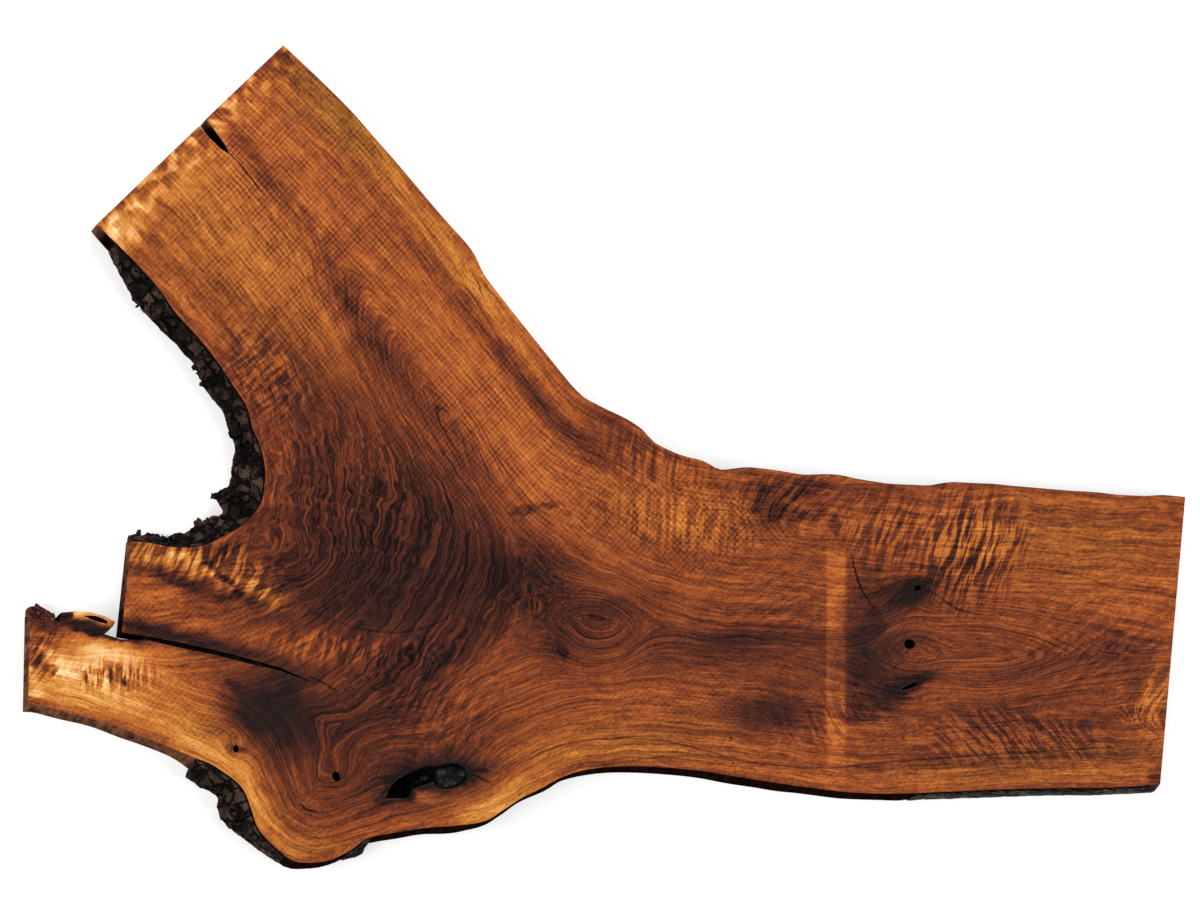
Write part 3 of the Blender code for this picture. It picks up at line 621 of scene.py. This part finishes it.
def paintSlab(slab):
    # works out the wood's figure for each point of the slab, and stores it for the materials
    mesh = slab.data
    points = np.empty(len(mesh.vertices) * 3)
    mesh.vertices.foreach_get("co", points)
    onFace = points.reshape(-1, 3)
    onFace[:, 2] = faceHeight
    across, down = photoPlaces(onFace)
    bendX, bendY = swayed(across, down, "rings")
    ring, length, headX, headY = ringField(across, down, bendX, bendY)
    fray = sum(push * wave(ring, length, wide, long, seed) for push, wide, long, seed in frayWaves)
    frayX, frayY = swayed(across, down, "patches")
    frayX = frayX + fray * headX
    frayY = frayY + fray * headY

    tone = toneField(across, down, frayX, frayY, ring, length)
    strokeU, strokeV, ripple = rippleField(frayX, frayY, bendX, bendY)
    offLine, alongLine, lineDark = checkField(across, down)
    gold, ash, feather, saw, rings = [
        strongest(frayX, frayY, patches)
        for patches in (goldPatches, ashPatches, featherPatches, sawPatches, ringPatches)]
    scale = photoView["metresPerPixel"]
    ones = np.ones(across.shape)
    storeMap(mesh, "grainMap", ring * scale, length * scale)
    storeMap(mesh, "strokeMap", strokeU * scale, strokeV * scale)
    storeMap(mesh, "checkMap", offLine, alongLine)
    storeNumbers(mesh, "figure", "FLOAT_COLOR", np.column_stack((tone, gold, ash, ones)))
    storeNumbers(mesh, "marks", "FLOAT_COLOR", np.column_stack((feather, saw, ripple, ones)))
    storeNumbers(mesh, "ringShow", "FLOAT", rings)
    storeNumbers(mesh, "lineDark", "FLOAT", lineDark)
    storeNumbers(mesh, "sawnEnd", "FLOAT", sawnField(across, down))


# the wood's own colours, from its black figure to its pale sapwood
walnutTones = [
    (0.00, "#120807"), (0.10, "#2b1511"), (0.20, "#432018"), (0.29, "#5c2b1a"), (0.39, "#7a3b1e"),
    (0.50, "#9c5125"), (0.60, "#b5692c"), (0.72, "#c98849"), (0.86, "#dbab78"), (1.00, "#eccda3"),
]
# the same for wood that the oil left golden rather than red
sapTones = [
    (0.00, "#0d0806"), (0.20, "#3a1e12"), (0.33, "#60371a"), (0.45, "#8a521f"), (0.57, "#b0702a"),
    (0.70, "#c98f45"), (0.84, "#e0b573"), (1.00, "#f2d9a4"),
]

# the layers of the grain. Each is noise drawn out along a map, wide and long in metres, whose values in
# "noise" turn into the changes of tone in "tone" where its mask shows. Linear ones are soft, the rest firm
grainLayers = {
    "bands": {"wide": 0.013, "long": 0.40, "detail": 3, "noise": (0.36, 0.62), "tone": (0.045, -0.045),
              "mask": "calm"},
    "cloud": {"wide": 0.016, "long": 0.030, "detail": 6, "edge": "LINEAR", "noise": (0, 1),
              "tone": (-0.12, 0.12), "mask": "calm"},
    # pores and flecks, drawn about twice as coarse as real ones so that they show. Their short dark strokes
    # also stand for the face's fine relief, as painted shade
    "ticks": {"wide": 0.0042, "long": 0.015, "detail": 2, "noise": (0.52, 0.70), "tone": (0.008, -0.042),
              "mask": "calm"},
    "slants": {"map": "slanted", "wide": 0.0032, "long": 0.012, "detail": 3, "twist": 0.4,
               "noise": (0.50, 0.66), "tone": (0.015, -0.065), "mask": "calm"},
    "rings": {"wide": 0.0085, "long": 0.40, "detail": 2, "noise": (0.50, 0.64), "tone": (0.02, -0.11),
              "mask": "rings"},
    "fibres": {"wide": 0.0034, "long": 0.07, "detail": 4, "edge": "LINEAR", "noise": (0, 1),
               "tone": (-0.19, 0.19)},
    "grit": {"wide": 0.0042, "long": 0.009, "detail": 3, "edge": "LINEAR", "noise": (0, 1),
             "tone": (-0.10, 0.10)},
    "flames": {"wide": 0.0042, "long": 0.017, "detail": 4, "twist": 0.7, "noise": (0.38, 0.62),
               "tone": (0.10, -0.12), "mask": "feather"},
    "ripples": {"map": "strokeMap", "wide": 0.0088, "long": 0.060, "detail": 2, "noise": (0.40, 0.60),
                "tone": (0.10, -0.19), "mask": "ripple"},
}
grainTurn = 0.65        # turns each noise off its map, so that the streaks don't all end on one line
grainRoughness = 0.6

# the saw left fine dark lines at two slants. Real ones are closer, too fine to show in this view
sawMarks = {
    "pitch": 0.0078,
    "turns": (42, -44),             # degrees
    # this scale gives one wave to a pitch
    "wave": {"Scale": math.tau / 20, "Distortion": 2.2, "Detail": 2.0, "Detail Scale": 0.35,
             "Detail Roughness": 0.7},
    "uneven": 1.5,                  # how much clearer they are in some places than in others
    "unevenSize": (3, 9),           # in pitches
    "edges": [((1.53, 1.80), (0.0, -0.125)), ((0.45, 0.85), (0.09, 0.0))],      # dark, and pale between
}

# the thin dark lines' half width halfway along, how soft their edges are and how far they stray, in metres
checkShape = {"halfWide": 0.0050, "soft": 0.0012, "stray": 0.006, "straySize": 90.0, "end": 0.001}

# black walnut under a satin oil: it looks warm and deep, with hardly any gloss to grey its dark figure
walnutFinish = {
    "roughness": 0.40, "shine": 0.07, "bump": 0.25, "bumpDepth": 0.002,
    "ash": "#1c1616",
    "ashMost": 0.85,
    "slant": 40,                    # degrees that the fine cross strokes lean
    "sawCalm": 0.55,                # how far the grain fades under the saw's marks, and in the feather
    "featherCalm": 0.45,
}


def startMaterial(name):
    material = bpy.data.materials.new(name)
    material.use_nodes = True
    material.node_tree.nodes.clear()
    return material, material.node_tree


def closeMaterial(tree, colour, height, finish):
    # what every surface of the object ends in: its relief, its gloss and its colour
    relief = addNode(tree, "Bump", inputs={
        "Height": height, "Strength": finish["bump"], "Distance": finish["bumpDepth"]})
    shader = addNode(tree, "BsdfPrincipled", inputs={
        "Base Color": colour, "Roughness": finish["roughness"], "Specular IOR Level": finish["shine"],
        "Normal": relief})
    addNode(tree, "OutputMaterial", inputs={"Surface": shader})


def makeWalnut():
    finish = walnutFinish
    material, tree = startMaterial("oiledWalnut")
    here = addNode(tree, "TexCoord").outputs["Object"]
    maps = {"slanted": addNode(tree, "Mapping", inputs={
        "Vector": here, "Rotation": (0, 0, math.radians(finish["slant"]))})}
    for name in ("grainMap", "strokeMap", "checkMap"):
        maps[name] = addNode(tree, "UVMap", {"uv_map": name})
    # figure holds the tone, gold and ash, and marks the feather, the saw's marks and the ripples
    stored = {}
    for name in ("figure", "marks", "ringShow", "lineDark"):
        stored[name] = addNode(tree, "Attribute", {"attribute_name": name}).outputs
    figure = addNode(tree, "SeparateColor", inputs={"Color": stored["figure"]["Color"]}).outputs
    marks = addNode(tree, "SeparateColor", inputs={"Color": stored["marks"]["Color"]}).outputs
    calm = 1.0
    for mark, share in ((marks["Green"], finish["sawCalm"]), (marks["Red"], finish["featherCalm"])):
        calm = addNode(tree, "Math", multiplyAdd, {0: mark, 1: -share, 2: calm})
    masks = {"calm": calm, "rings": stored["ringShow"]["Fac"], "feather": marks["Red"],
             "ripple": marks["Blue"]}

    tone = figure["Red"]
    for layer in grainLayers.values():
        stretched = addNode(tree, "Mapping", inputs={
            "Vector": maps[layer.get("map", "grainMap")], "Rotation": (0, 0, grainTurn),
            "Scale": (1 / layer["wide"], 1 / layer["long"], 1)})
        streaks = addNode(tree, "TexNoise", {"noise_dimensions": "2D"}, {
            "Vector": stretched, "Scale": 1.0, "Detail": layer["detail"], "Roughness": grainRoughness,
            "Distortion": layer.get("twist", 0.0)})
        settings = {"interpolation_type": layer.get("edge", "SMOOTHSTEP"), "clamp": False}
        change = addNode(tree, "MapRange", settings, {
            "Value": streaks, "From Min": layer["noise"][0], "From Max": layer["noise"][1],
            "To Min": layer["tone"][0], "To Max": layer["tone"][1]})
        mask = masks.get(layer.get("mask"), 1.0)
        tone = addNode(tree, "Math", multiplyAdd, {0: change, 1: mask, 2: tone})

    for turn in sawMarks["turns"]:
        turned = addNode(tree, "Mapping", inputs={
            "Vector": here, "Rotation": (0, 0, math.radians(turn)), "Scale": (1 / sawMarks["pitch"],) * 3})
        kerf = addNode(tree, "TexWave", inputs={"Vector": turned, **sawMarks["wave"]}).outputs["Fac"]
        stretched = addNode(tree, "Mapping", inputs={
            "Vector": turned, "Rotation": (0, 0, grainTurn),
            "Scale": (1 / sawMarks["unevenSize"][0], 1 / sawMarks["unevenSize"][1], 1)})
        uneven = addNode(tree, "TexNoise", {"noise_dimensions": "2D"}, {
            "Vector": stretched, "Scale": 1.0, "Detail": 3.0, "Roughness": grainRoughness})
        level = addNode(tree, "Math", multiplyAdd, {0: uneven, 1: sawMarks["uneven"], 2: kerf})
        for (low, high), (bottom, top) in sawMarks["edges"]:
            change = addNode(tree, "MapRange", smoothStep, {
                "Value": level, "From Min": low, "From Max": high, "To Min": bottom, "To Max": top})
            tone = addNode(tree, "Math", multiplyAdd, {0: change, 1: marks["Green"], 2: tone})

    # a thin line strays a little, is widest halfway along and comes to a point at both ends
    line = addNode(tree, "SeparateXYZ", inputs={"Vector": maps["checkMap"]}).outputs
    strayNoise = addNode(tree, "TexNoise", inputs={
        "Vector": here, "Scale": checkShape["straySize"], "Detail": 3.0})
    strayed = addNode(tree, "Math", multiplyAdd, {0: strayNoise, 1: checkShape["stray"], 2: line["X"]})
    centred = addNode(tree, "Math", {"operation": "SUBTRACT"}, {0: strayed, 1: checkShape["stray"] / 2})
    offLine = addNode(tree, "Math", {"operation": "ABSOLUTE"}, {0: centred})
    left = addNode(tree, "Math", {"operation": "SUBTRACT"}, {0: 1.0, 1: line["Y"]})
    taper = addNode(tree, "Math", {"operation": "MULTIPLY"}, {0: left, 1: line["Y"]})
    beyond = addNode(tree, "Math", multiplyAdd, {0: taper, 1: -checkShape["halfWide"], 2: offLine})
    change = addNode(tree, "MapRange", smoothStep, {
        "Value": beyond, "From Min": 0.0, "From Max": checkShape["soft"], "To Min": -1.0, "To Max": 0.0})
    within = addNode(tree, "Math", {"operation": "GREATER_THAN"}, {0: taper, 1: checkShape["end"]})
    mask = addNode(tree, "Math", {"operation": "MULTIPLY"}, {0: within, 1: stored["lineDark"]["Fac"]})
    tone = addNode(tree, "Math", multiplyAdd, {0: change, 1: mask, 2: tone})

    red = addNode(tree, "ValToRGB", inputs={"Fac": tone}, stops=walnutTones)
    gold = addNode(tree, "ValToRGB", inputs={"Fac": tone}, stops=sapTones)
    oiled = addNode(tree, "Mix", colourMix, {
        "Factor": figure["Green"], "A": red, "B": gold}).outputs["Result"]
    ashShare = addNode(tree, "Math", {"operation": "MULTIPLY"}, {0: figure["Blue"], 1: finish["ashMost"]})
    stained = addNode(tree, "Mix", colourMix, {
        "Factor": ashShare, "A": oiled, "B": linear(finish["ash"])}).outputs["Result"]
    closeMaterial(tree, stained, tone, finish)
    return material


# the slab's sides: a waney edge, near black and dull, with traces of bark, and cross cuts of plain brown wood
wallFinish = {
    "waney": [(0.35, "#050303"), (0.68, "#1e0f0a")],
    "sawn": [(0.35, "#321d14"), (0.68, "#744c37")],
    "stain": "#060505",
    "mottle": (90, 90, 22),
    "roughness": 0.9, "shine": 0.0, "bump": 0.6, "bumpDepth": 0.002,
}


def makeWalls():
    finish = wallFinish
    material, tree = startMaterial("waneyEdge")
    here = addNode(tree, "TexCoord").outputs["Object"]
    stretched = addNode(tree, "Mapping", inputs={"Vector": here, "Scale": finish["mottle"]})
    mottle = addNode(tree, "TexNoise", inputs={"Vector": stretched, "Scale": 1.0, "Detail": 5.0})
    waney = addNode(tree, "ValToRGB", inputs={"Fac": mottle}, stops=finish["waney"])
    sawn = addNode(tree, "ValToRGB", inputs={"Fac": mottle}, stops=finish["sawn"])
    isSawn = addNode(tree, "Attribute", {"attribute_name": "sawnEnd"}).outputs["Fac"]
    wall = addNode(tree, "Mix", colourMix, {"Factor": isSawn, "A": waney, "B": sawn}).outputs["Result"]
    figure = addNode(tree, "Attribute", {"attribute_name": "figure"}).outputs["Color"]
    ash = addNode(tree, "SeparateColor", inputs={"Color": figure}).outputs["Blue"]
    stained = addNode(tree, "Mix", colourMix, {
        "Factor": ash, "A": wall, "B": linear(finish["stain"])}).outputs["Result"]
    closeMaterial(tree, stained, mottle, finish)
    return material


# the underside is as the mill left it: dry, paler, dull and crossed by saw marks
undersideFinish = {
    "tones": [(0.42, "#4a3022"), (0.72, "#8d6747"), (0.9, "#b48d63")],
    "grain": (3, 45, 1),
    "sawPitch": 0.006, "sawTurn": 0.12, "sawDepth": 0.25,
    "roughness": 0.85, "shine": 0.06, "bump": 0.4, "bumpDepth": 0.001,
}


def makeUnderside():
    finish = undersideFinish
    material, tree = startMaterial("sawnWalnut")
    here = addNode(tree, "TexCoord").outputs["Object"]
    along = addNode(tree, "Mapping", inputs={"Vector": here, "Scale": finish["grain"]})
    grain = addNode(tree, "TexNoise", inputs={
        "Vector": along, "Scale": 1.0, "Detail": 6.0, "Roughness": 0.65, "Distortion": 0.4})
    acrossSaw = addNode(tree, "Mapping", inputs={
        "Vector": here, "Rotation": (0, 0, finish["sawTurn"]), "Scale": (1 / finish["sawPitch"], 4, 1)})
    saw = addNode(tree, "TexNoise", inputs={"Vector": acrossSaw, "Scale": 1.0, "Detail": 2.0})
    level = addNode(tree, "Math", multiplyAdd, {0: saw, 1: finish["sawDepth"], 2: grain})
    ramp = addNode(tree, "ValToRGB", inputs={"Fac": level}, stops=finish["tones"])
    closeMaterial(tree, ramp, saw, finish)
    return material


# the rotted pocket is black and was flooded with oil, so it glistens
rotPatch = (425, 780, 62, 34, 8)
rotFinish = {
    "tones": [(0.4, "#030303"), (0.75, "#121013")],
    "lumps": 110.0,
    "share": 0.4,               # of the patch's weight, above which a wall belongs to the pocket
    "roughness": 0.3, "shine": 0.12, "bump": 0.8, "bumpDepth": 0.004,
}


def makeRot():
    material, tree = startMaterial("oiledRot")
    here = addNode(tree, "TexCoord").outputs["Object"]
    lumps = addNode(tree, "TexNoise", inputs={"Vector": here, "Scale": rotFinish["lumps"], "Detail": 4.0})
    ramp = addNode(tree, "ValToRGB", inputs={"Fac": lumps}, stops=rotFinish["tones"])
    closeMaterial(tree, ramp, lumps, rotFinish)
    return material


def makeSlab():
    slab = makeSlabShape()
    print("slab shape", len(slab.data.vertices), triangleCount(slab))
    paintSlab(slab)
    slab.data.materials.clear()
    for make in (makeWalnut, makeWalls, makeUnderside, makeRot):
        slab.data.materials.append(make())
    walls = []
    for face in slab.data.polygons:
        if face.center.z > faceHeight - slabShape["level"]:
            face.material_index = 0
        elif face.center.z < slabShape["level"]:
            face.material_index = 2
        else:
            face.material_index = 1
            walls.append(face)
    centres = np.array([(face.center.x, face.center.y, faceHeight) for face in walls])
    for face, share in zip(walls, patchWeight(*photoPlaces(centres), rotPatch)):
        if share > rotFinish["share"]:
            face.material_index = 3
    pickOut(slab)
    bpy.ops.object.shade_smooth_by_angle(angle=math.radians(slabShape["smoothAngle"]))
    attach(slab, "root")
    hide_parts("walnut_slab")


# furrowed bark stands up in plates with deep cracks between them, and lies flatter beside the wood
barkShapes = {
    "crotch_bark": {"name": "crotchBark", "finish": "furrowedBark", "voxel": 0.0018, "plates": 0.020,
                    "crack": 0.0100, "lumps": 0.0120, "grit": 0.0036},
    "foot_bark": {"name": "footBark", "finish": "furrowedBark", "voxel": 0.0018, "plates": 0.022,
                  "crack": 0.0100, "lumps": 0.0120, "grit": 0.0036},
    "trunk_bark": {"name": "trunkBark", "finish": "furrowedBark", "voxel": 0.0016, "plates": 0.015,
                   "crack": 0.0020, "lumps": 0.0012, "grit": 0.0016},
    "edge_knob": {"name": "edgeKnob", "finish": "furrowedBark", "voxel": 0.0015, "plates": 0.014,
                  "crack": 0.0025, "lumps": 0.0020, "grit": 0.0016},
    "stub_bark": {"name": "stubBark", "finish": "innerBark", "voxel": 0.0015, "plates": 0.012,
                  "crack": 0.0025, "lumps": 0.0020, "grit": 0.0020},
    "ingrown_bark": {"name": "ingrownBark", "finish": "ingrownBark", "voxel": 0.0012, "plates": 0.010,
                     "crack": 0.0010, "lumps": 0.0005, "grit": 0.0010},
}
# the relief's textures: their size in plates, the height that they give, and the level that stays in place
barkRelief = [
    ("CLOUDS", 2.2, "lumps", 0.35, {"noise_depth": 1}),
    ("VORONOI", 1.0, "crack", 0.65, {"weight_1": -1.0, "weight_2": 1.0, "noise_intensity": 1.6}),
    ("CLOUDS", 0.3, "grit", 0.5, {"noise_depth": 3}),
]
barkEdges = {
    "gap": 0.001,       # metres from the wood's wall that stay flat
    "reach": 0.007,     # over which the relief then grows
    "foot": 0.012,      # and from the floor up
    "smoothAngle": 50,  # degrees
}


def makeBark(node, material, wallTree):
    shape = barkShapes[node]
    pickOut(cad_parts[node])
    bpy.ops.object.duplicate()
    bark = bpy.context.view_layer.objects.active
    bark.name = shape["name"]
    bpy.ops.object.mode_set(mode="EDIT")
    bpy.ops.mesh.select_all(action="SELECT")
    bpy.ops.mesh.remove_doubles(threshold=mergeDistance)
    bpy.ops.object.mode_set(mode="OBJECT")
    applyModifier(bark, "REMESH", mode="VOXEL", voxel_size=shape["voxel"])
    mesh = bark.data
    before = np.empty(len(mesh.vertices) * 3)
    mesh.vertices.foreach_get("co", before)
    normals = np.empty_like(before)
    mesh.vertices.foreach_get("normal", normals)
    group = bark.vertex_groups.new(name="relief")
    for vertex in mesh.vertices:
        gap = (wallTree.find_nearest(vertex.co)[3] - barkEdges["gap"]) / barkEdges["reach"]
        group.add([vertex.index], min(max(gap, 0), 1, vertex.co.z / barkEdges["foot"]), "REPLACE")
    for kind, size, height, middle, settings in barkRelief:
        texture = bpy.data.textures.new(height, kind)
        texture.noise_scale = shape["plates"] * size
        for name, value in settings.items():
            setattr(texture, name, value)
        applyModifier(bark, "DISPLACE", texture=texture, strength=shape[height], mid_level=middle,
                      texture_coords="LOCAL", direction="NORMAL", vertex_group="relief")
        bpy.data.textures.remove(texture)
    mesh = bark.data
    after = np.empty_like(before)
    mesh.vertices.foreach_get("co", after)
    # how far each point was pushed out: the bark's material turns it into painted light on the crests and
    # painted shade in the hollows
    reliefShade = ((after - before) * normals).reshape(-1, 3).sum(axis=1)
    storeNumbers(mesh, "reliefShade", "FLOAT", reliefShade / (shape["crack"] + shape["lumps"]))
    mesh.materials.clear()
    mesh.materials.append(material)
    pickOut(bark)
    bpy.ops.object.shade_smooth_by_angle(angle=math.radians(barkEdges["smoothAngle"]))
    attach(bark, "root")
    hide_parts(node)
    print("bark", node, triangleCount(bark))
    return bark


barkGloss = {"shine": 0.05, "bump": 0.9, "bumpDepth": 0.004}
barkFinishes = {
    # dry outer bark of walnut, dull: its tones run from near black, laid in the furrows as painted shade, to
    # brown-grey, laid on the plates' crests as painted light
    "furrowedBark": {"tones": [(0.22, "#040303"), (0.55, "#17100d"), (0.95, "#4c3a32")], "plateSize": 0.024,
                     "roughness": 0.6, **barkGloss},
    # bark grown into the cleft, rotted black and dull
    "ingrownBark": {"tones": [(0.22, "#040303"), (0.55, "#100c0a"), (0.95, "#2b211c")], "plateSize": 0.012,
                    "roughness": 0.7, **barkGloss},
    # inner bark: a flake of dry red-brown cork
    "innerBark": {"tones": [(0.22, "#140706"), (0.55, "#5a211a"), (0.95, "#93513f")], "plateSize": 0.011,
                  "roughness": 0.6, **barkGloss},
}
# what lightens the bark, and by how much: how far a point stands out, which lays painted light on the crests
# and painted shade in the hollows, and four patterns, of which the plates' cracks are painted shade as well
barkToneAndShade = {"reliefShade": 0.5, "start": -0.55, "blotch": 0.8, "grit": 0.5, "plate": 0.45, "crack": 0.38}
barkScales = {"grit": 260.0, "blotch": 45.0, "bend": 55.0, "bendReach": 0.030}


def makeBarkMaterial(name):
    finish = barkFinishes[name]
    material, tree = startMaterial(name)
    reliefShade = addNode(tree, "Attribute", {"attribute_name": "reliefShade"}).outputs["Fac"]
    here = addNode(tree, "TexCoord").outputs["Object"]
    noises = {}
    for kind, detail in (("grit", 4.0), ("blotch", 3.0), ("bend", 2.0)):
        noises[kind] = addNode(tree, "TexNoise", inputs={
            "Vector": here, "Scale": barkScales[kind], "Detail": detail}).outputs
    # plates split by cracks that are darkened as painted shade, each a little lighter or darker than the next
    bent = addNode(tree, "VectorMath", multiplyAdd, {
        0: noises["bend"]["Color"], 1: (barkScales["bendReach"],) * 3, 2: here})
    plates = addNode(tree, "TexVoronoi", inputs={"Vector": bent, "Scale": 1 / finish["plateSize"]})
    plate = addNode(tree, "SeparateColor", inputs={"Color": plates.outputs["Color"]}).outputs["Red"]
    rims = addNode(tree, "TexVoronoi", {"feature": "DISTANCE_TO_EDGE"}, {
        "Vector": bent, "Scale": 1 / finish["plateSize"]})
    crack = addNode(tree, "MapRange", inputs={
        "Value": rims.outputs["Distance"], "From Min": 0.01, "From Max": 0.14})
    # the bark's tone: its own blotches, grit and plates, with painted shade in the hollows and cracks and
    # painted light on the crests
    level = barkToneAndShade["start"]
    parts = {"reliefShade": reliefShade, "blotch": noises["blotch"][0], "grit": noises["grit"][0], "plate": plate,
             "crack": crack}
    for kind, part in parts.items():
        level = addNode(tree, "Math", multiplyAdd, {0: part, 1: barkToneAndShade[kind], 2: level})
    ramp = addNode(tree, "ValToRGB", inputs={"Fac": level}, stops=finish["tones"])
    height = addNode(tree, "Math", multiplyAdd, {0: noises["grit"][0], 1: 0.3, 2: crack})
    closeMaterial(tree, ramp, height, finish)
    return material


def makeBarks(wallTree):
    materials = {name: makeBarkMaterial(name) for name in barkFinishes}
    for node, shape in barkShapes.items():
        bark = makeBark(node, materials[shape["finish"]], wallTree)


studio = {
    # a pale matt floor. It gives off half of its own white, so that the shadow on it stays faint
    "floorSide": 30.0, "floorColour": "#b9b8b7", "floorGlow": 0.55, "floorRoughness": 0.9, "floorShine": 0.1,
    "skyStrength": 0.25,
    # three windows: place in metres, and power in watts
    "lampSize": 4.0,
    "lamps": {"windowLeft": ((-5.5, -2.0, 4.5), 420), "windowRight": ((5.0, -2.5, 4.5), 300),
              "windowBack": ((0.5, 5.5, 4.5), 330)},
}


def makeStudio():
    clearSelection()
    bpy.ops.mesh.primitive_plane_add(size=studio["floorSide"], location=(0, 0, 0))
    floor = bpy.context.view_layer.objects.active
    floor.name = "floor"
    material, tree = startMaterial("paleFloor")
    shader = addNode(tree, "BsdfPrincipled", inputs={
        "Base Color": linear(studio["floorColour"]), "Roughness": studio["floorRoughness"],
        "Specular IOR Level": studio["floorShine"], "Emission Color": (1, 1, 1, 1),
        "Emission Strength": studio["floorGlow"]})
    addNode(tree, "OutputMaterial", inputs={"Surface": shader})
    floor.data.materials.append(material)
    world = bpy.data.worlds.new("studio")
    world.use_nodes = True
    world.node_tree.nodes["Background"].inputs["Color"].default_value = (1, 1, 1, 1)
    world.node_tree.nodes["Background"].inputs["Strength"].default_value = studio["skyStrength"]
    bpy.context.scene.world = world
    for name, (place, power) in studio["lamps"].items():
        lamp = bpy.data.lights.new(name, "AREA")
        lamp.size = studio["lampSize"]
        lamp.energy = power
        thing = bpy.data.objects.new(name, lamp)
        thing.location = place
        thing.rotation_euler = (-Vector(place)).to_track_quat("-Z", "Y").to_euler()
        bpy.context.collection.objects.link(thing)
    bpy.context.scene.view_settings.view_transform = "Standard"


makeCamera()
print("camera done")
wallTree = BVHTree.FromObject(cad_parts["walnut_slab"], bpy.context.evaluated_depsgraph_get())
makeSlab()
print("slab done")
makeBarks(wallTree)
print("bark done")
makeStudio()
print("studio done")
